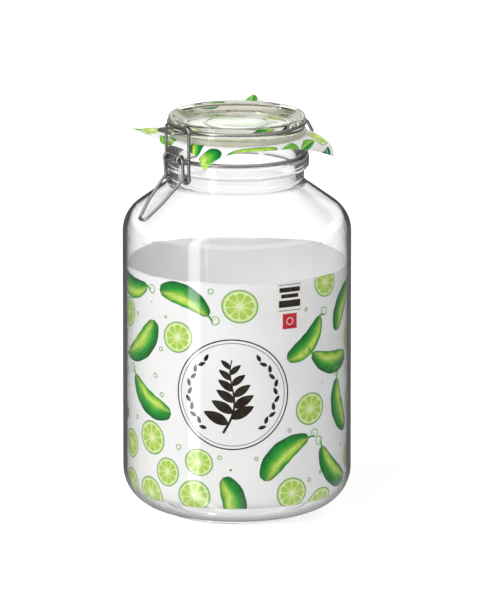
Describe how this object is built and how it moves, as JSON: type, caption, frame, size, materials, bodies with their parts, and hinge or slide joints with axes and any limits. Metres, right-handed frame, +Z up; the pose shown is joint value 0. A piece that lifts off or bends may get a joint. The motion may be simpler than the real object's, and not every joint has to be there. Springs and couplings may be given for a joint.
{
  "type": "clip-top preserving jar",
  "caption": "Glass clip-top preserving jar with a hinged glass lid, a bent-wire bail clamp, a printed paper rolled inside the wall and a printed paper square under the lid.",
  "frame": {"origin": "centre of the jar's base, on the surface it stands on", "axes": "+Z up along the jar's axis; the clamp faces (-X, -Y), 38 degrees from -X, and the hinge is opposite it"},
  "size_m": [0.174, 0.174, 0.307],
  "materials": {
    "clear_glass": "gloss",
    "wire": "satin",
    "gasket": "satin",
    "paper": "matte"
  },
  "bodies": {
    "jar": {"jar_glass": "clear_glass", "neck_wire": "wire", "paper_sleeve": "paper"},
    "lid": {"lid_glass": "clear_glass", "lid_wire": "wire", "gasket": "gasket", "cover_sheet": "paper"},
    "lever": {"lever": "wire"},
    "loop": {"clamp_loop": "wire"}
  },
  "joints": [
    {"name": "lid_hinge", "type": "hinge", "parent": "jar", "child": "lid", "pos_m": [0.04925, 0.03848, 0.2811], "axis": [-0.6157, 0.788, 0], "range_deg": [0, 110]},
    {"name": "lever_pivot", "type": "hinge", "parent": "jar", "child": "lever", "pos_m": [-0.04791, -0.03743, 0.2811], "axis": [-0.6157, 0.788, 0], "range_deg": [0, 100]},
    {"name": "loop_pivot", "type": "hinge", "parent": "lever", "child": "loop", "pos_m": [-0.04492, -0.03509, 0.2656], "axis": [-0.6157, 0.788, 0], "range_deg": [-100, 0]}
  ],
  "couplings": [
    {"joint": "loop_pivot", "follows": "lever_pivot", "ratio": -1}
  ]
}
